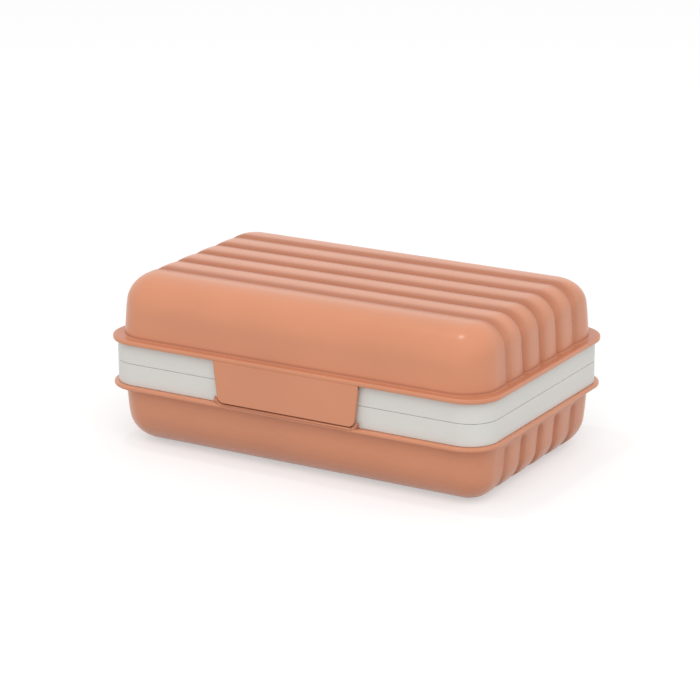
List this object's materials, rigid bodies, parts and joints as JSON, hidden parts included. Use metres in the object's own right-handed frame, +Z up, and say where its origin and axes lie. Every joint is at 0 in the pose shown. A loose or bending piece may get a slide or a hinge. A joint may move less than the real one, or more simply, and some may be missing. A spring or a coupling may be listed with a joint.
{
  "type": "covered soap dish",
  "caption": "Travel soap case shaped like a small ribbed suitcase: hinged lid, front latch tab, pale band round the middle and a lift-out drain tray inside.",
  "frame": {"origin": "under the middle of the closed case, on the surface that it stands on", "axes": "+X along the case, +Z up, and the latch is at -Y"},
  "size_m": [0.12, 0.076, 0.048],
  "materials": {
    "lid_plastic": "satin moulded terracotta",
    "base_plastic": "satin moulded terracotta",
    "band_plastic": "satin moulded warm white",
    "tray_plastic": "satin moulded warm white",
    "seal_silicone": "soft translucent grey",
    "pin_steel": "plain drawn wire"
  },
  "bodies": {
    "base": {"base_shell": "base_plastic", "base_liner": "band_plastic", "hinge_pin_left": "pin_steel", "hinge_pin_right": "pin_steel"},
    "lid": {"lid_shell": "lid_plastic", "lid_liner": "band_plastic", "lid_seal": "seal_silicone"},
    "latch": {"front_latch": "lid_plastic"},
    "tray": {"drain_tray": "tray_plastic"}
  },
  "joints": [
    {"name": "lid_hinge", "type": "hinge", "parent": "base", "child": "lid", "pos_m": [0, 0.0363, 0.0243], "axis": [-1, 0, 0], "range_deg": [0, 120]},
    {"name": "latch_hinge", "type": "hinge", "parent": "lid", "child": "latch", "pos_m": [0, -0.038, 0.0299], "axis": [-1, 0, 0], "range_deg": [0, 90], "stiffness_Nm_per_rad": 0.001},
    {"name": "tray_lift", "type": "slide", "parent": "base", "child": "tray", "axis": [0, 0, 1], "range_m": [0, 0.025]}
  ]
}
